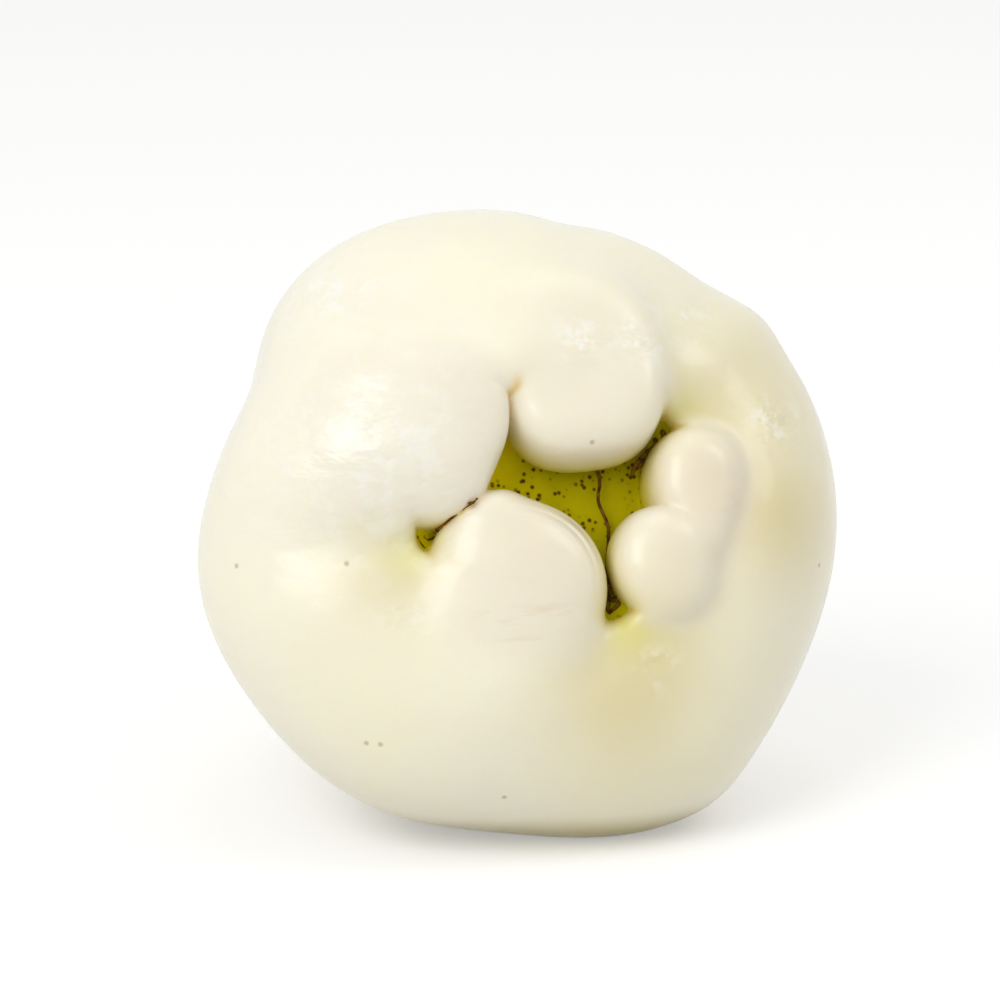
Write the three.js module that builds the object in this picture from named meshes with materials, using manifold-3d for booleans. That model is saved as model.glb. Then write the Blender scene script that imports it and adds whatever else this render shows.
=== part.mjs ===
// A wax apple: one pale, bell-shaped fruit, picked, lying on its flank with the blossom end to -Y.
//
// Units are millimetres and degrees. +Z is up. The origin is on the small flat that the fruit rests
// on, under its centre of mass, so the table is z = 0.
// The fruit is drawn standing on an axis of its own, which runs from the stem end to the blossom
// end, and is then laid down. A place on it is given as across (towards +X), up (square to the
// axis) and along (from the crest round the stem dimple towards the blossom end).

import * as THREE from 'three';
import { mergeVertices } from 'three/addons/utils/BufferGeometryUtils.js';
import Module from 'manifold-3d';

const wasm = await Module();
wasm.setup();

// ---- Driving dimensions -------------------------------------------------------------------------

const AXIS_TILT = 28;        // the flank is conical, so the blossom end is lifted by this much
const AXIS_HEIGHT = 10.9;    // height of the axis above the table at along = 0
const AXIS_BACK = 26.4;      // how far behind the origin the axis is there
const GIRTH_RADIUS = 31;     // largest radius of the bell
const GIRTH_ALONG = 36;      // where that largest radius is
const FACE_ALONG = 50.3;     // the blossom face, round the calyx
const DIMPLE_DEPTH = 4.2;    // the hollow that the stem stands in
const DISC_ALONG = 45.5;     // floor of the calyx cavity
const CALYX_RADIUS = 10.9;   // mean radius of the cavity's mouth
const CAVITY_TOP_ALONG = 56; // the cavity is cut out up to here, clear of the highest swelling
const TOUCH_GAP = 0.3;       // left between pieces that touch

// Low ribs run down the bell. Each row is a wave round the girth: how many crests it has, its
// height as a share of the radius, and the direction of its first crest, turning from across to up.
const GIRTH_RIBS = [
  { crests: 1, height: 0.008, first: -25 },
  { crests: 3, height: 0.009, first: -20 },
  { crests: 4, height: 0.026, first: 24 },
  { crests: 6, height: 0.010, first: 0 },
  { crests: 7, height: 0.007, first: -21 },
];

// The cavity's mouth is a rounded square whose corners are the notches between the calyx lobes.
const CALYX_CORNERS = [{ crests: 4, height: 0.16, first: 21 }];

// The bell's outline from the bottom of the stem dimple to the middle of the blossom end:
// radius, along.
const BELL_OUTLINE = [
  [0, DIMPLE_DEPTH],
  [3.5, 2.9],
  [7.5, 0.3],
  [12, 1],
  [16.3, 5.5],
  [21.2, 14],
  [25.8, 23],
  [29.6, 30.5],
  [GIRTH_RADIUS, GIRTH_ALONG],
  [29.9, 41.6],
  [26.4, 46.2],
  [20.8, 49.2],
  [14.5, FACE_ALONG],
  [7, 49.8],
  [0, 49.5],
];

// Broad low swellings of the blossom face. Each is a rounded form: its centre, its half sizes across
// its own width, outwards from the cavity and along the axis, and the direction it faces outwards.
const FACE_SWELLINGS = [
  { across: -13, up: 7.5, along: 39.1, half: [15.1, 15.1, 15.6], faces: 150 },
  { across: 2, up: 14, along: 44, half: [15, 11.5, 9.5], faces: 90 },
  { across: 17.5, up: -6.5, along: 43.4, half: [9.5, 9.5, 7.2], faces: 340 },
  { across: -6, up: -17.5, along: 43.4, half: [10, 9.3, 7.2], faces: 251 },
];

// The calyx cavity's outline from the middle of its floor to above the lobes: radius, along.
const CAVITY_OUTLINE = [
  [0, DISC_ALONG],
  [CALYX_RADIUS - 2, DISC_ALONG + 0.1],
  [CALYX_RADIUS - 0.5, DISC_ALONG + 0.8],
  [CALYX_RADIUS, DISC_ALONG + 2.5],
  [CALYX_RADIUS + 0.6, FACE_ALONG - 1],
  [CALYX_RADIUS + 2, FACE_ALONG + 1],
  [CALYX_RADIUS + 2, CAVITY_TOP_ALONG],
  [0, CAVITY_TOP_ALONG],
];

// Fleshy calyx lobes, each one or more rounded knobs, given as the swellings are.
const CALYX_KNOBS = [
  // upper lobe
  { across: 4.1, up: 10.7, along: 48.4, half: [7.9, 8.7, 5.1], faces: 93 },
  // lower lobe
  { across: -4.1, up: -9.0, along: 48.3, half: [8.8, 8.7, 5.0], faces: 252 },
  // left lobe, broad, running out into the flank of the bell
  { across: -12.4, up: 7.7, along: 49.4, half: [6.4, 9.0, 5.3], faces: 178 },
  { across: -13.7, up: 5.5, along: 49.3, half: [6.8, 8.8, 5.3], faces: 152 },
  // right lobe, cleft into two knobs that share one base
  { across: 14.6, up: 0.2, along: 48.2, half: [5.7, 5.0, 4.9], faces: 357 },
  { across: 10.4, up: -7.4, along: 48.7, half: [4.9, 5.4, 4.6], faces: 310 },
  { across: 12.6, up: -5.9, along: 47.6, half: [6.7, 4.0, 4.6], faces: 330 },
];

const STEM_RADIUS = 1.35;
const STEM_RING_RADIUS = 1.75;
const STEM_TIP_ALONG = -7.5;
const STEM_FOOT_ALONG = DIMPLE_DEPTH - TOUCH_GAP;
// The stalk's outline from its broken tip, over the ring below it, to its foot: radius, along.
const STEM_OUTLINE = [
  [0, STEM_TIP_ALONG],
  [STEM_RADIUS, STEM_TIP_ALONG],
  [STEM_RING_RADIUS, STEM_TIP_ALONG + 0.6],
  [STEM_RING_RADIUS, STEM_TIP_ALONG + 1.5],
  [STEM_RADIUS, STEM_TIP_ALONG + 2.6],
  [STEM_RADIUS, STEM_FOOT_ALONG - 2],
  [STEM_RADIUS + 0.2, STEM_FOOT_ALONG - 0.4],
  [0, STEM_FOOT_ALONG - 0.1],
];

const STYLE_RADIUS = 0.17;
// The dried style: across, up, along.
const STYLE_ROUTE = [
  [5.6, 1.9, 46.3],
  [5.9, 0.9, 46.8],
  [5.5, -0.6, 47.0],
  [6.2, -3.2, 46.8],
  [5.7, -6.4, 46.4],
];

const REMNANT_RADIUS = 0.3;
// Dried remains of the stamen ring, in three of the notches: across, up, along.
const REMNANT_ROUTES = {
  left: [
    [-9.3, -1.7, 46.6],
    [-10.4, -2.5, 46.8],
    [-11.2, -3.7, 47.0],
  ],
  upper: [
    [8.6, 3.1, 46.6],
    [9.8, 3.7, 46.8],
    [11.0, 4.5, 47.0],
  ],
  lower: [
    [4.3, -9.0, 46.6],
    [5.2, -10.0, 46.8],
    [4.2, -10.9, 47.0],
  ],
};

const GIRTH_SEGMENTS = 64;
const OUTLINE_STEPS = 34;
const KNOB_SEGMENTS = 24;
const KNOB_RINGS = 14;
const THREAD_SIDES = 6;
const THREAD_STEPS = 4;        // between two places on a thread's route
const STEM_SEGMENTS = 20;
const WELD_DISTANCE = 1e-4;

// ---- Helpers ------------------------------------------------------------------------------------

const radians = THREE.MathUtils.degToRad;

// The lying fruit: its own Y is the axis, its X is across, and up is -Z.
function fruitPoint([across, up, along]) {
  return new THREE.Vector3(across, along, -up);
}

function outlinePoint([radius, along]) {
  return new THREE.Vector2(radius, along);
}

function layDown(object) {
  object.rotation.x = Math.PI - radians(AXIS_TILT);
  object.position.set(0, AXIS_BACK, AXIS_HEIGHT);
  object.updateMatrixWorld();
  return object;
}

function waveFactor(waves, angle) {
  return waves.reduce(
    (sum, wave) => sum + wave.height * Math.cos(wave.crests * (angle - radians(wave.first))),
    1,
  );
}

// A turned shape whose radius also swells and shrinks round the axis.
function wavyLathe(outline, waves) {
  const geometry = new THREE.LatheGeometry(outline, GIRTH_SEGMENTS);
  const position = geometry.getAttribute('position');
  for (let i = 0; i < position.count; i += 1) {
    const x = position.getX(i);
    const z = position.getZ(i);
    const factor = waveFactor(waves, Math.atan2(-z, x));
    position.setX(i, x * factor);
    position.setZ(i, z * factor);
  }
  return geometry;
}

function bareGeometry(geometry) {
  const bare = geometry.clone();
  bare.deleteAttribute('normal');
  bare.deleteAttribute('uv');
  return mergeVertices(bare, WELD_DISTANCE);
}

function solidOf(geometry) {
  const bare = bareGeometry(geometry);
  const triVerts = Uint32Array.from(bare.getIndex().array);
  const vertProperties = Float32Array.from(bare.getAttribute('position').array);
  const solid = new wasm.Manifold(new wasm.Mesh({ numProp: 3, vertProperties, triVerts }));
  if (solid.volume() < 0) throw new Error('a shape is inside out');
  return solid;
}

function geometryOf(solid) {
  const mesh = solid.getMesh();
  const geometry = new THREE.BufferGeometry();
  geometry.setAttribute('position', new THREE.BufferAttribute(mesh.vertProperties, 3));
  geometry.setIndex(new THREE.BufferAttribute(mesh.triVerts, 1));
  geometry.computeVertexNormals();
  return geometry;
}

function thread(route, radius) {
  const curve = new THREE.CatmullRomCurve3(route.map(fruitPoint));
  const section = new THREE.Shape();
  section.absarc(0, 0, radius, 0, 2 * Math.PI);
  return new THREE.ExtrudeGeometry(section, {
    steps: THREAD_STEPS * (route.length - 1),
    curveSegments: THREAD_SIDES,
    bevelEnabled: false,
    extrudePath: curve,
  });
}

function named(name, geometry, material) {
  const mesh = new THREE.Mesh(geometry, material);
  mesh.name = name;
  return mesh;
}

// ---- Materials ----------------------------------------------------------------------------------

function skinMaterial() {
  return new THREE.MeshStandardMaterial({ color: 0xf1ecd2, roughness: 0.35, metalness: 0 });
}

function stemMaterial() {
  return new THREE.MeshStandardMaterial({ color: 0x93a83a, roughness: 0.6, metalness: 0 });
}

function driedMaterial() {
  return new THREE.MeshStandardMaterial({ color: 0x523a10, roughness: 0.8, metalness: 0 });
}

// ---- The fruit ----------------------------------------------------------------------------------

function bell() {
  const curve = new THREE.SplineCurve(BELL_OUTLINE.map(outlinePoint));
  const outline = curve.getSpacedPoints(OUTLINE_STEPS);
  outline[0].x = 0;
  outline[outline.length - 1].x = 0;
  return solidOf(wavyLathe(outline, GIRTH_RIBS));
}

// What is hollow: a shallow bowl with square corners, open at the blossom face.
function calyxCavity() {
  const outline = CAVITY_OUTLINE.map(outlinePoint);
  return solidOf(wavyLathe(outline, CALYX_CORNERS));
}

function roundedForm({ across, up, along, half, faces }) {
  const [halfWidth, halfOut, halfAlong] = half;
  const geometry = new THREE.SphereGeometry(1, KNOB_SEGMENTS, KNOB_RINGS);
  geometry.scale(halfOut, halfAlong, halfWidth);
  geometry.rotateY(radians(faces));
  const centre = fruitPoint([across, up, along]);
  geometry.translate(centre.x, centre.y, centre.z);
  return solidOf(geometry);
}

// Everything below the table, in the fruit's own frame. It cuts the small flat that it rests on.
function belowTable() {
  const size = 4 * GIRTH_RADIUS;
  const slab = new THREE.BoxGeometry(size, size, size);
  slab.translate(0, 0, -size / 2);
  const laid = layDown(new THREE.Object3D());
  slab.applyMatrix4(laid.matrixWorld.clone().invert());
  return solidOf(slab);
}

function fruit() {
  let flesh = bell();
  for (const swelling of FACE_SWELLINGS) {
    flesh = flesh.add(roundedForm(swelling));
  }
  flesh = flesh.subtract(calyxCavity());
  for (const knob of CALYX_KNOBS) {
    flesh = flesh.add(roundedForm(knob));
  }
  flesh = flesh.subtract(belowTable());
  return named('fruit', geometryOf(flesh), skinMaterial());
}

// ---- The small pieces ---------------------------------------------------------------------------

// A short green stalk in the stem dimple, ending in the ring where it parted from the twig.
function stem() {
  const outline = STEM_OUTLINE.map(outlinePoint);
  return named('stem', new THREE.LatheGeometry(outline, STEM_SEGMENTS), stemMaterial());
}

function style() {
  return named('style', thread(STYLE_ROUTE, STYLE_RADIUS), driedMaterial());
}

function stamenRemnants() {
  return Object.entries(REMNANT_ROUTES).map(([notch, route]) =>
    named(`stamen_remnant_${notch}`, thread(route, REMNANT_RADIUS), driedMaterial()),
  );
}

// ---- The whole ----------------------------------------------------------------------------------

const waxApple = layDown(new THREE.Group());
waxApple.add(fruit(), stem(), style(), ...stamenRemnants());

export default waxApple;
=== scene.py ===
"""A wax apple lying on its flank, with its calyx towards the camera.

The fruit's surface is written as a distance field: a ribbed bell, soft swellings and grooves on its
blossom face, the calyx cavity, and the fleshy calyx lobes that close over it. The field is turned into
a mesh here, and its colours come from procedural materials and from masks worked out of the same field.

Shape tables are in millimetres, in the fruit's own frame, as in the CAD model: across (towards +X),
up (square to the axis) and along (the axis, from the stem end to the blossom end). Meshes, lamps and
the camera are in metres.
"""

import math

import bpy
import numpy as np
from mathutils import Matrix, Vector

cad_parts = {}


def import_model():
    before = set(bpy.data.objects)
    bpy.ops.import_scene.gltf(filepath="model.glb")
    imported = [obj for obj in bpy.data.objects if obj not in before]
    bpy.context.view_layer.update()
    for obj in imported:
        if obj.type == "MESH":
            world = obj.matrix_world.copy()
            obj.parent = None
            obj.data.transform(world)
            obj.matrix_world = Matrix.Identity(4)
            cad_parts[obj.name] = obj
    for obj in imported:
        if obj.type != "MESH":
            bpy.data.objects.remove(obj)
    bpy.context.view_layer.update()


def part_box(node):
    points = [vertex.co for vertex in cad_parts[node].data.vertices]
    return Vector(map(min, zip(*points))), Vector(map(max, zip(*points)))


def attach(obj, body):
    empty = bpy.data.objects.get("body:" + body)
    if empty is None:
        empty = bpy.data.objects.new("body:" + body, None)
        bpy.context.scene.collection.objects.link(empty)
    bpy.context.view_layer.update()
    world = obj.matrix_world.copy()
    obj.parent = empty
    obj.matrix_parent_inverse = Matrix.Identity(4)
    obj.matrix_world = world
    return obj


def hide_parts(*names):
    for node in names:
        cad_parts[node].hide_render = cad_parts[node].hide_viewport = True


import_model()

MM = 0.001

# ---- How the fruit lies: the same driving dimensions as the CAD model -----------------------------

AXIS_TILT = math.radians(28)
AXIS_HEIGHT = 10.9
AXIS_BACK = 26.4

# ---- The bell -------------------------------------------------------------------------------------

# Outline from the bottom of the stem dimple to the middle of the blossom end: radius, along.
BELL_OUTLINE = [
    (0, 4.2), (3.5, 2.9), (7.5, 0.3), (12, 1), (16.3, 5.5), (21.2, 14), (25.8, 23), (29.6, 30.5),
    (31, 36), (29.9, 41.6), (26.4, 46.2), (20.8, 49.2), (14.5, 50.3), (7, 49.8), (0, 49.5),
]
# Ribs down the bell: crests round the girth, height as a share of the radius, first crest (degrees).
GIRTH_RIBS = [(1, 0.008, -25), (3, 0.009, -20), (4, 0.026, 24), (6, 0.010, 0), (7, 0.007, -21)]
# Single dents and crests down the flank: direction, height as a share of the radius, spread (degrees).
FLANK_MARKS = [(148, -0.026, 9), (77, -0.018, 7), (48, -0.012, 7), (35, 0.020, 6), (-60, 0.014, 8)]
# Waves in the rim of the stem dimple: crests, height as a share of the radius, first crest.
DIMPLE_WAVES = [(4, 0.10, 20), (7, 0.04, 60)]
# The flank's marks come in, and the dimple's waves fade out, over these stretches of the axis.
FLANK_MARKS_ALONG = (8, 30)
DIMPLE_WAVES_ALONG = (1, 9)

# ---- The calyx ------------------------------------------------------------------------------------

DISC_ALONG = 45.6            # floor of the cavity
NOTCH_FLOOR_RISE = 2.2       # how far that floor climbs into the notches
NOTCH_FLOOR_RADII = (9.5, 13)    # it climbs between these distances from the axis
MOUTH_RADIUS = 10.9          # the cavity between the notches
# The notches between the lobes: direction, distance from the axis, and spread.
NOTCHES = {
    "left": (196, 13.2, 16),
    "lower": (297, 13.2, 16),
    "right": (22.5, 13.8, 16),
    "upper": (107, 9.4, 16),
}
NOTCH_CORE = 0.76            # the share of a notch's spread that counts as notch
NOTCH_END = 2                # how far past its distance it fades
# The mouth flares where the lobes stand free in it, most of all towards this direction.
FLARE, FLARE_TOWARDS = 2.6, 310
FLARE_ALONG = (46, 51.5)
FLARE_LOST_IN_NOTCHES = 0.75
# The left lobe is a shelf of the face that reaches in over the cavity, with a rounded edge. It is two
# ovals in plan: the centre, the half sizes across and outwards, the direction it faces, and how square
# it is, 2 being an ellipse.
SHELF = [
    ((-12.6, 7.8), (6.6, 9.2), 178, 2.5),
    ((-13.7, 5.6), (7.5, 9.3), 152, 2.4),
]
SHELF_JOIN = 2.0             # how softly the two ovals join
# Rounding of the cavity's edge, and how much more there is at the shelf: extra, direction, spread.
EDGE_ROUNDING = 1.6
SHELF_ROUNDING = (3.4, 160, 42)
MOUTH_ROUNDING = 0.6         # where the cavity's wall meets the left lobe
FLOOR_ROUNDING = 1.5         # where it meets the floor
# Grooves and swellings of the face come in over this stretch of the axis.
FACE_ALONG = (36, 46)
# Grooves in the face: where each starts (across, up), its heading, depth, reach and half width.
GROOVES = [
    (-12.7, -4.0, 171, 1.3, 13.0, 1.5),
    (5.6, -10.8, 236, 1.7, 6.0, 1.2),
    (11.8, 4.6, 27, 1.2, 5.0, 1.8),
]
GROOVE_WIDENING = 0.25       # added half width for each millimetre ahead
GROOVE_LEAD_IN = 6           # a groove comes in over this far behind its start
# Swellings of the face: centre, heading, height, spread ahead and sideways, and how flat the top is.
FACE_SWELLINGS = [
    (-11.5, 7.0, 166, 4.4, 15, 9.8, 3),
    (-3.0, 15.5, 100, 0.4, 7, 6, 2),
    (4.0, 19.5, 90, 1.9, 5, 7, 2),
    (12.0, 13.4, 48, 0.8, 5.5, 7, 2),
    (20.5, -6.0, 345, 1.2, 6, 9, 2),
    (-6.0, -19.0, 252, 1.6, 6, 8, 2),
]
# The other lobes: how softly each grows out of the face, how far its top leans outwards (degrees),
# how flat its top is, 2 being round, and its knobs. A knob has its centre; its half sizes across,
# outwards and along; the direction it faces; how square it is in plan; and how softly it joins the
# knobs before it.
LOBES = {
    "upper": (4.0, 11, 3.8, [
        ((4.1, 11.3, 48.7), (8.1, 9.3, 5.0), 93, 2.7, 0),
        ((0.0, 11.2, 48.5), (4.0, 3.6, 5.0), 93, 2.6, 3.0),
    ]),
    "right": (1.4, 6, 2.8, [
        ((14.2, 0.1, 48.2), (5.4, 4.6, 4.9), 354, 2.2, 0),
        ((10.1, -7.7, 48.8), (5.0, 5.8, 4.6), 282, 2.0, 1.2),
        ((14.0, -4.0, 47.9), (4.6, 3.0, 4.9), 342, 2.1, 1.8),
    ]),
    "lower": (3.2, 7, 2.3, [
        ((-4.1, -9.0, 48.2), (9.0, 8.9, 4.9), 252, 2.1, 0),
        ((-6.2, -2.2, 48.1), (3.4, 1.9, 3.9), 118, 2.0, 3.5),
    ]),
}

# How softly a lobe meets what it touches at the bottom of a seam, where the gap closes to nothing.
SEAM_ROUNDING = 0.7
# A lobe grows softly out of the face where it is this far from the axis and this far along it.
ROOT_RADII = (9, 13)
ROOT_ALONG = (45, 49)
# Blunts the middle of an oval of unit size, so that nothing there is divided by zero.
OVAL_CORE = 0.12

# Where the flesh shows green through the skin, and yellow places: across, up, spread and strength.
GREEN_TINTS = [(-13.5, -4.6, 3.0, 1.0), (6.3, -12.5, 3.4, 1.0), (13.2, 5.5, 2.8, 0.9)]
# The yellow places are partly flesh showing through and partly painted shade, darker where the face turns
# from the lamps.
YELLOW_AND_PAINTED_SHADE_TINTS = [
    (-15.5, -5.5, 6, 0.7), (7.0, -14.5, 6, 1.0), (5.0, -20.0, 7.0, 0.8), (14.5, 6.0, 5.5, 0.8),
    (21.5, 9.5, 8, 0.6), (21.5, -3.0, 7, 1.0),
]

# Painted highlights: paler places where the skin faces the lamps.
PAINTED_HIGHLIGHT_TINTS = [(-16.5, 5.0, 9, 0.9), (-17.7, 21.5, 7, 0.4)]
# Painted shade: warmer, darker places on lobe tops that face the lamps.
PAINTED_SHADE_WARM_TINTS = [(15.5, -1.0, 4.5, 0.8), (-1.5, -4.0, 6.0, 0.4), (12.0, -8.0, 4.0, 0.4)]

# Crinkled spots of skin, bumped, with near-white flecks of painted glint: across, up, spread and strength.
CRINKLES_AND_PAINTED_GLINTS = [
    (-15.3, -11.2, 1.8, 0.6), (8.4, -17.4, 1.9, 0.6), (3.9, 13.2, 2.3, 1.0), (9.8, 13.0, 2.2, 1.0),
    (15.3, 16.6, 3.0, 0.7), (-17.7, 21.5, 4, 0.6), (23.4, 5.9, 2.6, 0.9), (-16.5, 4.0, 9, 0.5),
]
# Where the skin has faint brown scuffs: across, up, spread and strength.
SCUFFS = [(-5.5, -11.5, 2.6, 1.0), (-2.5, -13.0, 2.6, 1.0), (0.5, -3.5, 2.2, 0.9), (15.5, -3.0, 2.4, 0.6)]
# Small brown specks on the skin: across, up, along.
SPECKS = [
    (-19.8, -5.5, 49), (-30.2, -3.8, 44), (26.4, -7.8, 45), (-19, -21.8, 44.5), (-17.7, -22, 45),
    (-6.3, -28.6, 44), (3.7, 3.6, 53.5),
]
# The bottom lobe's rim has fine lines towards this direction, over this spread. The step is half the
# distance from line to line, as a share of the lobe's half size.
LIP_LINES = (38, 32)
LIP_LINE_STEP = 0.05

TABLE_EDGE_SOFTNESS = 0.6        # rounding where the flank flattens on the table

# Where the skin's masks come in or fade: outwards from the mouth's edge, along the axis, above the
# cavity's floor, outwards from a lobe, or over the table, where a contact shadow is painted.
MOUTH_EDGE = (0.3, 2.0)
MOUTH_ALONG = (40, 42)
# The cavity's tint reaches up the lobes' edges, where it is a painted reflection of the olive floor.
CAVITY_FADE_ALONG = (46.5, 52.4)
DISC_FADE = (0.3, 1.3)
CREVICE_WIDTH = 0.6
LOBE_EDGE = (-1.0, 2.0)
SHELF_ALONG = (46, 50)
TINTS_ALONG = (34, 45)
PAINTED_CONTACT_SHADOW_HEIGHTS = (0.5, 4.5)


# ---- Distance field -------------------------------------------------------------------------------

def smooth_min(a, b, blend):
    near = np.clip(1 - np.abs(a - b) / blend, 0, 1)
    return np.minimum(a, b) - blend * near**3 / 6


def smooth_max(a, b, blend):
    return -smooth_min(-a, -b, blend)


def ramp(x, low, high):
    t = np.clip((x - low) / (high - low), 0, 1)
    return t * t * (3 - 2 * t)


def bell_curve(angle, centre, spread):
    """1 at the centre direction, falling off over the spread. Degrees, except for angle."""
    turn = (angle - math.radians(centre) + math.pi) % (2 * math.pi) - math.pi
    return np.exp(-(turn / math.radians(spread)) ** 2)


def spline(points, steps=16):
    """A Catmull-Rom curve through the points."""
    p = np.array(points, float)
    p = np.vstack([2 * p[0] - p[1], p, 2 * p[-1] - p[-2]])
    curve = []
    for a, b, c, d in zip(p[:-3], p[1:-2], p[2:-1], p[3:]):
        for t in np.linspace(0, 1, steps, endpoint=False):
            curve.append(0.5 * (2 * b + (c - a) * t + (2 * a - 5 * b + 4 * c - d) * t**2
                                + (3 * b - a - 3 * c + d) * t**3))
    return np.array(curve + [p[-2]])


class OutlineDistance:
    """Signed distance to the turned bell, tabled over radius and along."""
    STEP, START, SIZE = 0.2, (0.0, -12.0), (260, 400)

    def __init__(self, outline):
        curve = spline(outline)
        radius = self.START[0] + self.STEP * np.arange(self.SIZE[0])[:, None]
        along = self.START[1] + self.STEP * np.arange(self.SIZE[1])[None, :]
        nearest = np.full(self.SIZE, 1e9)
        inside = np.zeros(self.SIZE, bool)
        for a, b in zip(curve[:-1], curve[1:]):
            edge = b - a
            t = np.clip(((radius - a[0]) * edge[0] + (along - a[1]) * edge[1]) / (edge @ edge), 0, 1)
            gap = (radius - a[0] - t * edge[0]) ** 2 + (along - a[1] - t * edge[1]) ** 2
            nearest = np.minimum(nearest, gap)
            low, high = (a, b) if a[1] < b[1] else (b, a)
            share = (along - low[1]) / (high[1] - low[1] + 1e-12)
            passed = (along >= low[1]) & (along < high[1])
            inside ^= passed & (radius < low[0] + share * (high[0] - low[0]))
        self.table = np.where(inside, -1, 1) * np.sqrt(nearest)

    def __call__(self, radius, along):
        x = np.clip((radius - self.START[0]) / self.STEP, 0, self.SIZE[0] - 1.001)
        y = np.clip((along - self.START[1]) / self.STEP, 0, self.SIZE[1] - 1.001)
        i, j = x.astype(int), y.astype(int)
        u, v = x - i, y - j
        t = self.table
        return ((t[i, j] * (1 - u) + t[i + 1, j] * u) * (1 - v)
                + (t[i, j + 1] * (1 - u) + t[i + 1, j + 1] * u) * v)


bell_distance = OutlineDistance(BELL_OUTLINE)


def girth_factor(angle, along):
    factor = np.ones_like(angle)
    for crests, height, first in GIRTH_RIBS:
        factor += height * np.cos(crests * (angle - math.radians(first)))
    for direction, height, spread in FLANK_MARKS:
        factor += height * bell_curve(angle, direction, spread) * ramp(along, *FLANK_MARKS_ALONG)
    rim = 1 - ramp(along, *DIMPLE_WAVES_ALONG)
    for crests, height, first in DIMPLE_WAVES:
        factor += rim * height * np.cos(crests * (angle - math.radians(first)))
    return factor


def turned(across, up, direction):
    """Across and up measured outwards and sideways from a direction."""
    a = math.radians(direction)
    return across * math.cos(a) + up * math.sin(a), up * math.cos(a) - across * math.sin(a)


def notch_share(angle, radius=0):
    """1 towards a notch, no further out than it goes, and 0 between the notches."""
    share = np.zeros_like(angle)
    for direction, distance, spread in NOTCHES.values():
        beyond = ramp(radius, distance, distance + NOTCH_END)
        share += bell_curve(angle, direction, NOTCH_CORE * spread) * (1 - beyond)
    return np.clip(share, 0, 1)


def mouth_distance(across, up, angle):
    """Distance outwards from the cavity's edge: round, with a corner at each notch."""
    edge = np.full_like(across, MOUTH_RADIUS)
    for direction, distance, spread in NOTCHES.values():
        edge += (distance - MOUTH_RADIUS) * bell_curve(angle, direction, spread)
    return np.hypot(across, up) - edge


def oval(sideways, outwards, squareness):
    """How far out a place is in an oval of unit size, and how fast that grows each way."""
    side, out = np.hypot(sideways, OVAL_CORE), np.hypot(outwards, OVAL_CORE)
    plan = (side**squareness + out**squareness) ** (1 / squareness)
    return plan, (side / plan) ** (squareness - 1), (out / plan) ** (squareness - 1)


def shelf_distance(across, up):
    """Distance in plan to the left lobe."""
    distance = None
    for centre, half, faces, squareness in SHELF:
        outwards, sideways = turned(across - centre[0], up - centre[1], faces)
        plan, side_slope, out_slope = oval(sideways / half[0], outwards / half[1], squareness)
        one = (plan - 1) / np.hypot(side_slope / half[0], out_slope / half[1])
        distance = one if distance is None else smooth_min(distance, one, SHELF_JOIN)
    return distance


def knob_distance(across, up, along, lean, flatness, centre, half, faces, squareness):
    """Distance to a rounded pad: an oval in plan, with a flattened top."""
    outwards, sideways = turned(across - centre[0], up - centre[1], faces)
    lean_out, lean_up = turned(outwards, along - centre[2], -lean)
    plan, side_slope, out_slope = oval(sideways / half[0], lean_out / half[1], squareness)
    norm, plan_slope, top_slope = oval(plan, lean_up / half[2], flatness)
    slopes = (plan_slope * side_slope / half[0], plan_slope * out_slope / half[1], top_slope / half[2])
    return (norm - 1) / np.sqrt(sum(slope**2 for slope in slopes))


def flesh_distance(across, up, along):
    """The bell with its swollen, grooved blossom face and the calyx cavity."""
    angle = np.arctan2(up, across)
    distance = bell_distance(np.hypot(across, up) / girth_factor(angle, along), along)
    face = ramp(along, *FACE_ALONG)
    for start_across, start_up, heading, depth, reach, half_width in GROOVES:
        ahead, sideways = turned(across - start_across, up - start_up, heading)
        width = half_width + GROOVE_WIDENING * np.clip(ahead, 0, 30)
        fade = np.exp(-np.clip(ahead, 0, 99) / reach) * ramp(ahead, -GROOVE_LEAD_IN, 0)
        distance += depth * face * fade * np.exp(-(sideways / width) ** 2)
    for at_across, at_up, heading, height, spread_ahead, spread_side, flatness in FACE_SWELLINGS:
        ahead, sideways = turned(across - at_across, up - at_up, heading)
        fall = np.abs(ahead / spread_ahead) ** flatness + np.abs(sideways / spread_side) ** flatness
        distance -= height * face * np.exp(-fall)
    extra, direction, spread = SHELF_ROUNDING
    rounding = EDGE_ROUNDING + extra * bell_curve(angle, direction, spread)
    return smooth_max(distance, -cavity_distance(across, up, along, angle), rounding)


def floor_along(across, up):
    """How far along the axis the cavity's floor is."""
    return DISC_ALONG + NOTCH_FLOOR_RISE * ramp(np.hypot(across, up), *NOTCH_FLOOR_RADII)


def cavity_distance(across, up, along, angle):
    side = 0.5 + 0.5 * np.cos(angle - math.radians(FLARE_TOWARDS))
    flare = FLARE * side * ramp(along, *FLARE_ALONG) * (1 - FLARE_LOST_IN_NOTCHES * notch_share(angle))
    wall = mouth_distance(across, up, angle) - flare
    mouth = smooth_max(wall, -shelf_distance(across, up), MOUTH_ROUNDING)
    return smooth_max(mouth, floor_along(across, up) - along, FLOOR_ROUNDING)


def lobe_distance(across, up, along, lean, flatness, knobs):
    distance = None
    for *knob, joined in knobs:
        one = knob_distance(across, up, along, lean, flatness, *knob)
        distance = one if distance is None else smooth_min(distance, one, joined)
    return distance


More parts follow.
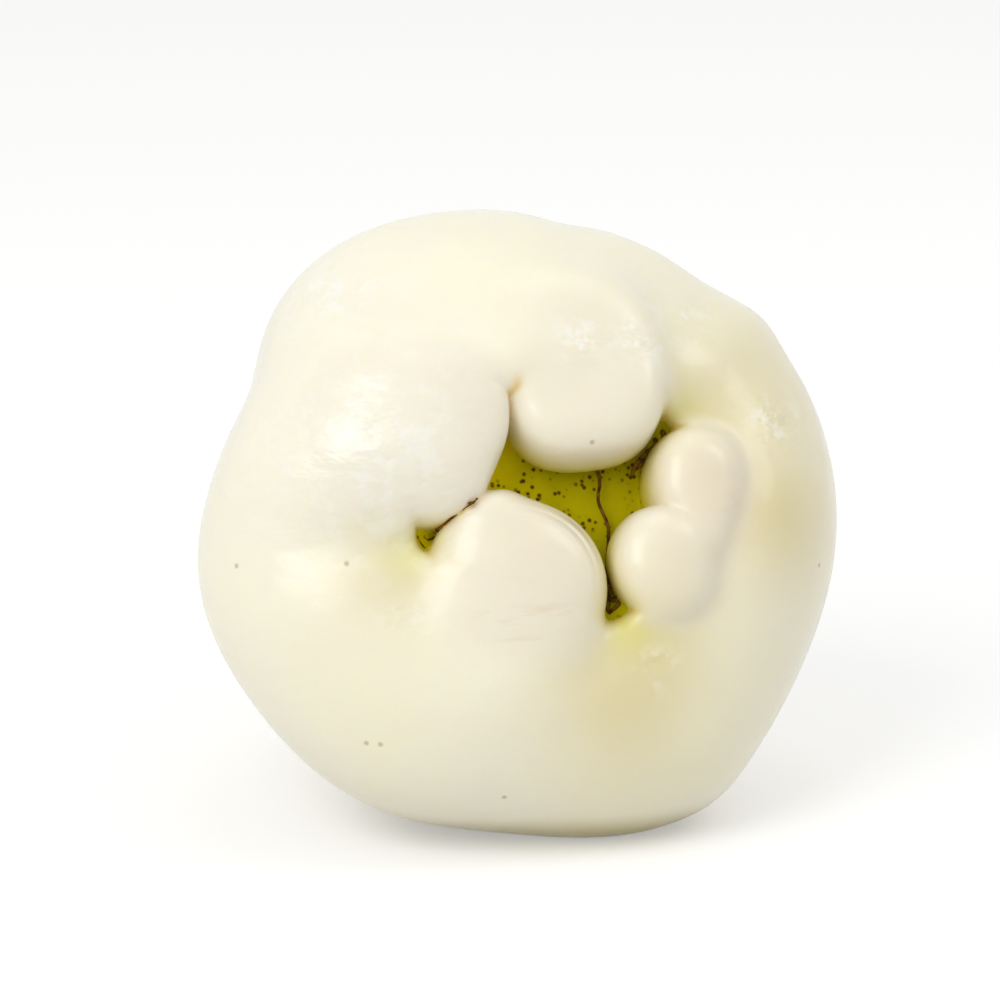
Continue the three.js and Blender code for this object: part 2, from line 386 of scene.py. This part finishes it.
def fruit_distance(points):
    """Distance to the fruit's skin, negative inside. Points are in the fruit's own frame."""
    across, up, along = points[..., 0], points[..., 1], points[..., 2]
    skin = flesh_distance(across, up, along)
    radius = np.hypot(across, up)
    outside = ramp(radius, *ROOT_RADII) * ramp(along, *ROOT_ALONG)
    softness = (1 - notch_share(np.arctan2(up, across), radius)) * outside
    for rooted, *shape in LOBES.values():
        lobe = lobe_distance(across, up, along, *shape)
        skin = smooth_min(skin, lobe, SEAM_ROUNDING + rooted * softness)
    return smooth_max(skin, -height_over_table(up, along), TABLE_EDGE_SOFTNESS)


def height_over_table(up, along):
    return AXIS_HEIGHT + up * math.cos(AXIS_TILT) + along * math.sin(AXIS_TILT)


def lying(points):
    """From the fruit's own frame, in millimetres, to the shared frame, in metres."""
    across, up, along = points[:, 0], points[:, 1], points[:, 2]
    back = AXIS_BACK + up * math.sin(AXIS_TILT) - along * math.cos(AXIS_TILT)
    return np.stack([across, back, height_over_table(up, along)], 1) * MM


# ---- From field to mesh ---------------------------------------------------------------------------

def graded(*spans):
    """Grid lines from spans of (start, end, step), each span meeting the next."""
    lines = [np.linspace(a, b, int(round((b - a) / step)), endpoint=False) for a, b, step in spans]
    return np.concatenate(lines + [[spans[-1][1]]])


def field_on_grid(field, axes):
    """Field values at the grid's corners, worked out layer by layer."""
    layers = []
    x, y = np.meshgrid(axes[0], axes[1], indexing="ij")
    for z in axes[2]:
        layers.append(field(np.stack([x, y, np.full_like(x, z)], -1)))
    return np.stack(layers, -1)


def surface_net(values, axes):
    """One vertex in each grid cell that the surface passes, one quad round each edge it crosses."""
    inside = values < 0
    cells = tuple(n - 1 for n in values.shape)
    filled = np.zeros(cells, int)
    corners = [(i, j, k) for i in (0, 1) for j in (0, 1) for k in (0, 1)]
    for i, j, k in corners:
        filled += inside[i:i + cells[0], j:j + cells[1], k:k + cells[2]]
    at = np.nonzero((filled > 0) & (filled < 8))
    number = np.full(cells, -1)
    number[at] = np.arange(len(at[0]))

    total = np.zeros((len(at[0]), 3))
    crossings = np.zeros(len(at[0]))
    for a in corners:
        for axis in range(3):
            if a[axis]:
                continue
            b = tuple(v + (n == axis) for n, v in enumerate(a))
            low = tuple(index + step for index, step in zip(at, a))
            high = tuple(index + step for index, step in zip(at, b))
            crossed = inside[low] != inside[high]
            t = np.where(crossed, values[low] / (values[low] - values[high] + 1e-30), 0)
            start = np.stack([axes[n][low[n]] for n in range(3)], 1)
            end = np.stack([axes[n][high[n]] for n in range(3)], 1)
            total += np.where(crossed[:, None], start + t[:, None] * (end - start), 0)
            crossings += crossed
    vertices = total / crossings[:, None]

    quads = []
    for axis in range(3):
        one, two = [n for n in range(3) if n != axis]
        low = np.moveaxis(inside, axis, 0)[:-1]
        high = np.moveaxis(inside, axis, 0)[1:]
        cell = np.moveaxis(number, axis, 0)
        i, j, k = np.nonzero(low[:, 1:-1, 1:-1] != high[:, 1:-1, 1:-1])
        ring = np.stack([cell[i, j, k], cell[i, j + 1, k], cell[i, j + 1, k + 1], cell[i, j, k + 1]], 1)
        outward = low[i, j + 1, k + 1]
        if axis == 1:
            outward = ~outward
        quads.append(np.where(outward[:, None], ring, ring[:, ::-1]))
    return vertices, np.concatenate(quads)


def field_slope(field, points, step=0.02):
    slope = np.empty_like(points)
    for axis in range(3):
        shift = np.zeros(3)
        shift[axis] = step
        slope[:, axis] = (field(points + shift) - field(points - shift)) / (2 * step)
    return slope


def settle(field, points, rounds=2, most=0.25):
    """Moves points along the field's slope on to its surface."""
    for _ in range(rounds):
        slope = field_slope(field, points)
        move = -field(points)[:, None] * slope / (np.sum(slope**2, 1, keepdims=True) + 1e-9)
        length = np.linalg.norm(move, axis=1, keepdims=True) + 1e-12
        points = points + move * np.minimum(1, most / length)
    return points


def relax(field, vertices, quads, rounds=3):
    """Evens out the mesh by sliding each vertex along the surface to the middle of its neighbours."""
    ends = np.concatenate([quads[:, [n, (n + 1) % 4]] for n in range(4)])
    degree = sum(np.bincount(ends[:, side], minlength=len(vertices)) for side in (0, 1))
    for _ in range(rounds):
        middle = np.zeros_like(vertices)
        for n in range(3):
            middle[:, n] += np.bincount(ends[:, 0], vertices[ends[:, 1], n], len(vertices))
            middle[:, n] += np.bincount(ends[:, 1], vertices[ends[:, 0], n], len(vertices))
        shift = middle / degree[:, None] - vertices
        slope = field_slope(field, vertices)
        normal = slope / (np.linalg.norm(slope, axis=1, keepdims=True) + 1e-9)
        shift -= normal * np.sum(shift * normal, 1, keepdims=True)
        vertices = settle(field, vertices + 0.6 * shift, 1)
    return vertices


def mesh_object(name, vertices, faces, material):
    mesh = bpy.data.meshes.new(name)
    mesh.from_pydata(vertices.tolist(), [], [list(map(int, face)) for face in faces])
    mesh.validate()
    mesh.polygons.foreach_set("use_smooth", [True] * len(mesh.polygons))
    mesh.materials.append(material)
    made = bpy.data.objects.new(name, mesh)
    bpy.context.scene.collection.objects.link(made)
    return made


def add_mask(piece, name, values):
    mask = piece.data.attributes.new(name, "FLOAT", "POINT")
    mask.data.foreach_set("value", np.asarray(values, np.float32))


# ---- The fruit ------------------------------------------------------------------------------------

# Steps of the grid round the calyx and elsewhere, where the fine part lies, and the grid's ends.
FINE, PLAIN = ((0.32, 0.8))
FINE_ACROSS = (-19, 21)
FINE_UP = (-19, 18)
FINE_ALONG = (42, 56.4)
GRID_REACH = 33
GRID_BACK = -1.5


def sideways_grid(fine):
    return graded((-GRID_REACH, fine[0], PLAIN), (*fine, FINE), (fine[1], GRID_REACH, PLAIN))


def fruit_piece(skin, disc):
    along = graded((GRID_BACK, FINE_ALONG[0], PLAIN), (*FINE_ALONG, FINE))
    axes = (sideways_grid(FINE_ACROSS), sideways_grid(FINE_UP), along)
    vertices, quads = surface_net(field_on_grid(fruit_distance, axes), axes)
    vertices = relax(fruit_distance, settle(fruit_distance, vertices), quads)
    piece = mesh_object("wax_apple_flesh", lying(vertices), quads, skin)
    add_calyx_masks(piece, vertices)
    piece.data.materials.append(disc)
    on_disc = disc_share(*vertices.T)[quads].mean(1) > 0.5
    piece.data.polygons.foreach_set("material_index", on_disc.astype(np.int32))
    return piece


def mouth_share(across, up, along):
    """1 inside the cavity's mouth, fading to 0 outwards."""
    mouth = mouth_distance(across, up, np.arctan2(up, across))
    return (1 - ramp(mouth, *MOUTH_EDGE)) * ramp(along, *MOUTH_ALONG)


def disc_share(across, up, along):
    """1 on the cavity's floor, fading to 0 a little way up its wall."""
    floor = floor_along(across, up)
    return mouth_share(across, up, along) * (1 - ramp(along, floor + DISC_FADE[0], floor + DISC_FADE[1]))


def spots(across, up, places):
    """Soft round spots on the face, merged. A place is across, up, spread and strength."""
    rest = np.ones_like(across)
    for at_across, at_up, spread, strength in places:
        rest *= 1 - strength * np.exp(-((across - at_across) ** 2 + (up - at_up) ** 2) / spread**2)
    return 1 - rest


def crevice(across, up, along, lobes):
    """1 where a lobe meets the flesh at a notch, the seam that gets painted shade."""
    flesh = flesh_distance(across, up, along)
    gap = np.minimum.reduce([np.abs(flesh - lobe) + np.abs(flesh) for lobe in lobes])
    return np.exp(-(gap / CREVICE_WIDTH) ** 2) * notch_share(np.arctan2(up, across), np.hypot(across, up))


def lip_share(across, up, along):
    """How far out a place is in the bottom lobe, and 1 where its rim has fine lines."""
    centre, half, faces, squareness, _ = LOBES["lower"][-1][0]
    outwards, sideways = turned(across - centre[0], up - centre[1], faces)
    plan, _, _ = oval(sideways / half[0], outwards / half[1], squareness)
    direction, spread = LIP_LINES
    towards = bell_curve(np.arctan2(up - centre[1], across - centre[0]), direction, spread)
    return plan, towards * ramp(plan, 0.66, 0.78) * (1 - ramp(plan, 1.0, 1.1)) * ramp(along, 47, 49)


def add_calyx_masks(piece, points):
    across, up, along = points.T
    deep = 1 - ramp(along, *CAVITY_FADE_ALONG)
    # Yellow-olive cavity walls; on the lobes' edges this is a painted reflection of the floor.
    add_mask(piece, "cavity", mouth_share(across, up, along) * deep)
    lobes = [lobe_distance(across, up, along, *shape) for _, *shape in LOBES.values()]
    # Painted shade in the seams at the notches, yellow-brown; its lightness also paints back light the deep
    # seams lose.
    add_mask(piece, "crevice", crevice(across, up, along, lobes))
    lobes.append(shelf_distance(across, up) + 2 * (1 - ramp(along, *SHELF_ALONG)))
    on_lobe = 1 - ramp(np.minimum.reduce(lobes), *LOBE_EDGE)
    on_face = ramp(along, *TINTS_ALONG)
    add_mask(piece, "lobe", on_lobe)
    add_mask(piece, "green", spots(across, up, GREEN_TINTS) * (1 - 0.85 * on_lobe) * on_face)
    # Yellow, partly painted shade.
    add_mask(piece, "yellow", spots(across, up, YELLOW_AND_PAINTED_SHADE_TINTS) * (1 - 0.7 * on_lobe) * on_face)
    # Of these, the paler places are a painted highlight, the warmer ones painted shade and the crinkled
    # spots carry painted glints; the scuffs are real.
    others = {"pale": PAINTED_HIGHLIGHT_TINTS, "painted_warm_shade": PAINTED_SHADE_WARM_TINTS, "crinkles_and_painted_glints": CRINKLES_AND_PAINTED_GLINTS, "scuffed": SCUFFS}
    for name, places in others.items():
        add_mask(piece, name, spots(across, up, places) * on_face)
    rim_place, rim_share = lip_share(across, up, along)
    add_mask(piece, "lip_place", rim_place)
    add_mask(piece, "lip", rim_share)
    # Painted contact shadow: olive-yellow darkening of the flank close to the table.
    add_mask(piece, "painted_contact_shadow", 1 - ramp(height_over_table(up, along), *PAINTED_CONTACT_SHADOW_HEIGHTS))


# ---- Materials ------------------------------------------------------------------------------------

def linear(red, green, blue):
    """A colour given as 0 to 255 screen values."""
    def channel(value):
        value /= 255
        return value / 12.92 if value <= 0.04045 else ((value + 0.055) / 1.055) ** 2.4
    return (channel(red), channel(green), channel(blue), 1)


class Nodes:
    """Short calls for building a node tree."""

    def __init__(self, tree):
        self.tree = tree

    def add(self, kind, inputs=None, **settings):
        node = self.tree.nodes.new(kind)
        for key, value in settings.items():
            setattr(node, key, value)
        for key, value in (inputs or {}).items():
            self.put(node.inputs[key], value)
        return node

    def put(self, socket, value):
        if isinstance(value, bpy.types.NodeSocket):
            self.tree.links.new(value, socket)
        else:
            socket.default_value = value

    def place(self):
        return self.add("ShaderNodeTexCoord").outputs["Object"]

    def stretched(self, *scale):
        """The place with its axes scaled, to draw a pattern out along the others."""
        return self.add("ShaderNodeMapping", {"Vector": self.place(), "Scale": scale}).outputs["Vector"]

    def mask(self, name):
        return self.add("ShaderNodeAttribute", attribute_name=name).outputs["Fac"]

    def turned_place(self, heading, *scale):
        """The place turned about the front-to-back axis and then stretched."""
        inputs = {"Vector": self.place(), "Rotation": (0, math.radians(heading), 0), "Scale": scale}
        return self.add("ShaderNodeMapping", inputs).outputs["Vector"]

    def noise(self, scale, detail=3, roughness=0.5, vector=None):
        inputs = {"Scale": scale, "Detail": detail, "Roughness": roughness, "Vector": vector or self.place()}
        return self.add("ShaderNodeTexNoise", inputs).outputs["Fac"]

    def remap(self, value, low, high, to_low=0.0, to_high=1.0):
        inputs = {"Value": value, "From Min": low, "From Max": high, "To Min": to_low, "To Max": to_high}
        return self.add("ShaderNodeMapRange", inputs, interpolation_type="SMOOTHSTEP").outputs["Result"]

    def math(self, operation, a, b):
        node = self.add("ShaderNodeMath", operation=operation)
        self.put(node.inputs[0], a)
        self.put(node.inputs[1], b)
        return node.outputs[0]

    def blend(self, share, a, b, mode="MIX"):
        node = self.add("ShaderNodeMix", data_type="RGBA", blend_type=mode)
        self.put(node.inputs["Factor"], share)
        self.put(node.inputs[6], a)
        self.put(node.inputs[7], b)
        return node.outputs[2]

    def bump(self, height, distance, strength=1.0, under=None):
        inputs = {"Height": height, "Distance": distance, "Strength": strength}
        if under is not None:
            inputs["Normal"] = under
        return self.add("ShaderNodeBump", inputs).outputs["Normal"]

    def tint(self, colour, share, strength, screen_colour):
        """The colour, taken towards a screen colour by the share times the strength."""
        return self.blend(self.math("MULTIPLY", share, strength), colour, linear(*screen_colour))


class MaterialNodes(Nodes):
    """The node tree of a new material."""

    def __init__(self, name):
        self.material = bpy.data.materials.new(name)
        self.material.use_nodes = True
        super().__init__(self.material.node_tree)
        self.shader = self.tree.nodes["Principled BSDF"]

    def finish(self, **inputs):
        for key, value in inputs.items():
            self.put(self.shader.inputs[key.replace("_", " ")], value)
        return self.material


# How strongly each of the fruit's masks tints the skin, and towards which screen colour, in turn.
SKIN_TINTS = {
    # Partly painted shade.
    "yellow": (1.0, (227, 216, 168)),
    "green": (0.8, (222, 216, 124)),
    "lobe": (0.8, (239, 231, 211)),
    # Painted highlight on the paler places.
    "pale": (0.8, (250, 246, 232)),
    # Painted glints: near-white flecks on the crinkles.
    "crinkles_and_painted_glints": (0.7, (255, 253, 246)),
    # Painted shade on the lobes' tops.
    "painted_warm_shade": (0.8, (234, 220, 196)),
    "scuffed": (0.25, (206, 178, 140)),
    # The cavity's own colour, and a painted reflection of the floor on the lobes' edges.
    "cavity": (1.0, (214, 198, 50)),
    # Painted shade in the seams at the notches, lightened for the light they lose.
    "crevice": (0.8, (224, 192, 72)),
    # Painted contact shadow near the table.
    "painted_contact_shadow": (0.9, (172, 154, 36)),
}
SPECK_COLOUR = (140, 110, 60)
SPECK_RADII = (0.0001, 0.00036)
SPECK_STRENGTH = 0.45


def skin_colour(n, lines):
    """Cream, clouded with pale green, with the tints, specks and rim lines over it; several tints are
    painted shade and painted highlights.
    """
    cloud = n.remap(n.noise(45, 4), 0.38, 0.68)
    colour = n.tint(linear(248, 241, 220), cloud, 0.4, (243, 239, 204))
    scratches = n.noise(700, 3, 0.6, n.turned_place(-24, 0.12, 1.0, 1.0))
    # The painted glints are broken into flecks, and the scuffs into scratches.
    broken_up = {
        "crinkles_and_painted_glints": n.remap(n.noise(420, 4, 0.6), 0.5, 0.62),
        "scuffed": n.remap(scratches, 0.55, 0.68),
    }
    for name, (strength, screen_colour) in SKIN_TINTS.items():
        share = n.mask(name)
        if name in broken_up:
            share = n.math("MULTIPLY", share, broken_up[name])
        colour = n.tint(colour, share, strength, screen_colour)
    for speck in lying(settle(fruit_distance, np.array(SPECKS), rounds=10, most=1.0)):
        far = n.add("ShaderNodeVectorMath", {0: n.place(), 1: speck.tolist()}, operation="DISTANCE")
        share = n.remap(far.outputs["Value"], *SPECK_RADII, SPECK_STRENGTH, 0)
        colour = n.blend(share, colour, linear(*SPECK_COLOUR))
    shaded_lines = n.math("MULTIPLY", n.remap(lines, 0.25, 0.0), n.mask("lip"))
    return n.tint(colour, shaded_lines, 0.35, (206, 186, 140))


def skin_relief(n, lines):
    """The skin's bumps down to its waves, for the coat, and all of them, with rim lines and pores."""
    folds = n.remap(n.mask("pale"), 0, 1, 0.12, 0.5)
    streaks = n.bump(n.noise(75, 3, 0.6, n.stretched(1.0, 1.0, 2.2)), 0.0018, folds)
    ripples = n.bump(n.noise(240, 3, 0.6, n.stretched(1.0, 1.0, 1.8)), 0.0009, n.mask("crinkles_and_painted_glints"), streaks)
    waves = n.bump(n.noise(190, 2), 0.0004, 0.25, ripples)
    rim = n.bump(n.math("MULTIPLY", lines, n.mask("lip")), 0.0003, 0.6, waves)
    return waves, n.bump(n.noise(1400, 2), 0.0001, 0.2, rim)


def skin_material():
    n = MaterialNodes("waxy_skin")
    zigzag = n.math("PINGPONG", n.mask("lip_place"), LIP_LINE_STEP)
    lines = n.math("MULTIPLY", zigzag, 1 / LIP_LINE_STEP)
    waves, pores = skin_relief(n, lines)
    return n.finish(
        Base_Color=skin_colour(n, lines), Roughness=n.remap(n.noise(260, 3), 0.3, 0.7, 0.3, 0.42),
        Normal=pores, IOR=1.42,
        Subsurface_Weight=0.6, Subsurface_Radius=(1.0, 0.85, 0.5), Subsurface_Scale=0.003,
        Coat_Weight=0.45, Coat_Roughness=0.18, Coat_Normal=waves,
    )


def disc_material():
    """The cavity's floor: yellow-green with small dark specks, painted lighter on the left, where the left
    lobe shades it.
    """
    n = MaterialNodes("calyx_disc")
    across = n.add("ShaderNodeSeparateXYZ", {"Vector": n.place()}).outputs["X"]
    # Painted light: lighter on the left, against the left lobe's shadow on the floor.
    lime_painted_lighter_left = n.blend(n.remap(across, -0.003, 0.002), linear(255, 238, 0), linear(188, 177, 0))
    lime_painted_lighter_left = n.tint(lime_painted_lighter_left, n.remap(n.noise(120, 3), 0.35, 0.65), 0.5, (180, 174, 0))
    cells = n.add("ShaderNodeTexVoronoi", {"Scale": 1500, "Vector": n.place()})
    speck = n.remap(cells.outputs["Distance"], 0.18, 0.42, 1, 0)
    some = n.remap(n.noise(260, 2), 0.43, 0.51)
    colour = n.blend(n.math("MULTIPLY", speck, some), lime_painted_lighter_left, linear(96, 66, 6))
    return n.finish(
        Base_Color=colour, Roughness=0.7, Normal=n.bump(n.noise(700, 3), 0.0002, 0.5),
        Specular_IOR_Level=0.05,
    )


def stem_material():
    n = MaterialNodes("green_stalk")
    colour = n.blend(n.remap(n.noise(400, 3), 0.35, 0.65), linear(142, 160, 52), linear(176, 184, 84))
    colour = n.blend(n.mask("scar"), colour, linear(104, 78, 44))
    bump = n.bump(n.noise(900, 3), 0.0002, 0.6)
    return n.finish(
        Base_Color=colour, Roughness=0.5, Normal=bump,
        Subsurface_Weight=0.1, Subsurface_Radius=(0.6, 1.0, 0.3), Subsurface_Scale=0.001,
    )


def dried_material():
    n = MaterialNodes("dried_flower")
    colour = n.blend(n.remap(n.noise(1500, 3), 0.35, 0.65), linear(66, 40, 4), linear(120, 84, 14))
    return n.finish(
        Base_Color=colour, Roughness=0.8, Normal=n.bump(n.noise(2500, 2), 0.0001, 0.6),
        Specular_IOR_Level=0.15,
    )


# ---- Small pieces ---------------------------------------------------------------------------------

OFF_ROUTE = (0.3, 0.2, 0.93)     # a direction that no tube starts along


def tube(route, radii, sides):
    """A closed tube along a smooth route, in the fruit's own frame. Radii are spread along it."""
    path = spline(route, 8)
    radius = np.interp(np.linspace(0, 1, len(path)), np.linspace(0, 1, len(radii)), radii)
    tangent = np.gradient(path, axis=0)
    tangent /= np.linalg.norm(tangent, axis=1, keepdims=True)
    side = np.cross(tangent[0], OFF_ROUTE)
    rings = []
    for point, along, size in zip(path, tangent, radius):
        side = side - along * (side @ along)
        side /= np.linalg.norm(side)
        other = np.cross(along, side)
        for turn in np.linspace(0, 2 * math.pi, sides, endpoint=False):
            rings.append(point + size * (math.cos(turn) * side + math.sin(turn) * other))
    points = np.array(rings + [path[0], path[-1]])
    faces = []
    for ring in range(len(path) - 1):
        for n in range(sides):
            a, b = ring * sides + n, ring * sides + (n + 1) % sides
            faces.append((a, b, b + sides, a + sides))
    first, last = len(points) - 2, len(points) - 1
    end = (len(path) - 1) * sides
    for n in range(sides):
        faces.append((first, (n + 1) % sides, n))
        faces.append((last, end + n, end + (n + 1) % sides))
    return points, faces


THREAD_SIDES = 10


def threads_object(name, threads, radii, material):
    """Several tubes in one piece."""
    points, faces = [], []
    for route in threads:
        start = len(points)
        more_points, more_faces = tube(route, radii, THREAD_SIDES)
        points.extend(more_points)
        faces.extend([tuple(start + n for n in face) for face in more_faces])
    return mesh_object(name, lying(np.array(points)), faces, material)


STEM_ROUTE = [(0, 0, 4.4), (0.1, 0, 1.5), (0.25, 0.1, -2), (0.3, 0.3, -5.6), (0.3, 0.35, -7.4)]
STEM_RADII = [2.2, 1.5, 1.35, 1.3, 1.35, 1.45, 1.75, 1.55]
STEM_SIDES = 28
SCAR_ALONG = (-6.9, -5.6)


def stem_piece(material):
    points, faces = tube(STEM_ROUTE, STEM_RADII, STEM_SIDES)
    piece = mesh_object("stalk", lying(points), faces, material)
    add_mask(piece, "scar", 1 - ramp(points[:, 2], *SCAR_ALONG))
    return piece


# The dried style, which lies across the cavity.
STYLE_ROUTE = [(5.6, 4.6, 45.5), (5.9, 1.6, 46.4), (5.5, -0.6, 46.5), (6.2, -3.2, 46.3), (5.7, -6.4, 46.0)]
STYLE_RADII = [0.26, 0.17, 0.16, 0.17, 0.14]

# What is left of the stamens in three of the notches: dry threads, each a route.
REMNANTS = {
    "left": [
        [(-10.0, -2.4, 47.4), (-12.4, -2.6, 47.9), (-12.7, -3.2, 48.0), (-11.3, -5.3, 47.8)],
        [(-10.2, -2.2, 47.4), (-10.9, -3.6, 47.6), (-11.4, -5.2, 47.8)],
        [(-12.4, -2.7, 47.8), (-11.6, -3.4, 47.4), (-10.6, -3.0, 47.3)],
        [
            (-10.9, -2.9, 48.8), (-10.1, -2.35, 50.8), (-9.3, -1.9, 51.35), (-8.6, -1.5, 51.8),
            (-7.8, -1.1, 52.1),
        ],
        [(-8.4, -1.3, 52.1), (-7.9, -1.15, 52.25), (-7.5, -0.8, 52.2)],
    ],
    "upper": [
        [(8.9, 1.6, 46.9), (9.4, 2.6, 47.3), (10.4, 3.5, 47.6)],
        [(9.4, 2.2, 46.9), (10.2, 2.9, 47.4), (10.6, 3.9, 47.6)],
        [(10.9, 3.6, 47.6), (11.4, 4.4, 47.8), (11.3, 4.9, 47.9)],
        [(11.8, 4.2, 47.8), (12.2, 5.0, 48.0), (12.1, 5.6, 48.1)],
        [(10.3, 3.4, 47.5), (11.6, 4.3, 47.8), (12.8, 5.3, 48.1)],
    ],
    "lower": [
        [(5.4, -7.0, 47.0), (5.3, -8.6, 47.4), (6.4, -9.9, 47.7), (5.9, -10.8, 47.7), (4.8, -11.7, 47.8)],
        [(5.3, -8.4, 47.4), (5.0, -10.0, 47.5), (4.8, -11.6, 47.8)],
        [(6.3, -9.9, 47.7), (5.4, -10.3, 47.4), (5.0, -9.6, 47.4)],
    ],
}
REMNANT_RADII = {
    "left": [0.2, 0.16, 0.1, 0.07, 0.12],
    "upper": [0.16, 0.24, 0.18, 0.26, 0.14],
    "lower": [0.16, 0.24, 0.18, 0.26, 0.14],
}


# ---- Stage ----------------------------------------------------------------------------------------

def seen_directly(n):
    """1 for the rays that show a thing itself or its mirror image, 0 for the rays that light others."""
    path = n.add("ShaderNodeLightPath").outputs
    mirrored = n.math("MAXIMUM", path["Is Glossy Ray"], path["Is Transmission Ray"])
    return n.math("MAXIMUM", path["Is Camera Ray"], mirrored)


FLOOR_SIZE = 6
FLOOR_GLOW = 0.36
WORLD_LIGHT = 0.6
# Lamps, all aimed at the middle of the fruit: place, size and power.
LAMPS = {
    "key": ((-0.56, -0.45, 0.53), (0.5, 0.6), 3.1),
    "top": ((0.1, 0.05, 0.7), (0.4, 0.4), 0.4),
    "right": ((0.5, -0.2, 0.56), (0.2, 0.35), 0.6),
}


def floor():
    n = MaterialNodes("pale_floor")
    glow = n.math("MULTIPLY", seen_directly(n), FLOOR_GLOW)
    n.finish(
        Base_Color=linear(224, 224, 223), Roughness=0.9, Specular_IOR_Level=0.1,
        Emission_Color=(1, 1, 1, 1), Emission_Strength=glow,
    )
    bpy.ops.mesh.primitive_plane_add(size=FLOOR_SIZE)
    made = bpy.context.object
    made.name = "floor"
    made.data.materials.append(n.material)


def lamp(name, place, size, power, aim):
    light = bpy.data.lights.new(name, "AREA")
    light.shape = "RECTANGLE"
    light.size, light.size_y = size
    light.energy = power
    made = bpy.data.objects.new(name, light)
    made.location = place
    made.rotation_euler = (aim - Vector(place)).to_track_quat("-Z", "Y").to_euler()
    bpy.context.scene.collection.objects.link(made)


def world(strength):
    """White where it is seen, and an even light of the given strength on everything."""
    made = bpy.data.worlds.new("studio")
    made.use_nodes = True
    n = Nodes(made.node_tree)
    background = n.tree.nodes["Background"]
    background.inputs["Color"].default_value = (1, 1, 1, 1)
    n.put(background.inputs["Strength"], n.remap(seen_directly(n), 0, 1, strength, 1))
    bpy.context.scene.world = made


CAMERA_AZIMUTH = math.radians(-14)
CAMERA_ELEVATION = math.radians(15)
CAMERA_DISTANCE = 0.5
CAMERA_LENS = 185


def camera(target):
    data = bpy.data.cameras.new("camera")
    data.lens = CAMERA_LENS
    made = bpy.data.objects.new("camera", data)
    level = math.cos(CAMERA_ELEVATION)
    right, ahead = math.sin(CAMERA_AZIMUTH) * level, math.cos(CAMERA_AZIMUTH) * level
    back = Vector((right, -ahead, math.sin(CAMERA_ELEVATION)))
    made.location = target + back * CAMERA_DISTANCE
    made.rotation_euler = (-back).to_track_quat("-Z", "Y").to_euler()
    bpy.context.scene.collection.objects.link(made)
    bpy.context.scene.camera = made


# ---- The scene ------------------------------------------------------------------------------------

def shown(piece, node):
    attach(piece, "root")
    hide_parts(node)


fruit_low, fruit_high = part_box("fruit")
middle = (fruit_low + fruit_high) / 2

shown(fruit_piece(skin_material(), disc_material()), "fruit")
shown(stem_piece(stem_material()), "stem")
dried = dried_material()
shown(threads_object("dried_style", [STYLE_ROUTE], STYLE_RADII, dried), "style")
for notch, threads in REMNANTS.items():
    piece = threads_object(f"dried_stamens_{notch}", threads, REMNANT_RADII[notch], dried)
    shown(piece, f"stamen_remnant_{notch}")

floor()
world(WORLD_LIGHT)
for name, (place, size, power) in LAMPS.items():
    lamp(name, place, size, power, middle)
camera(middle)
bpy.context.scene.view_settings.view_transform = "Standard"
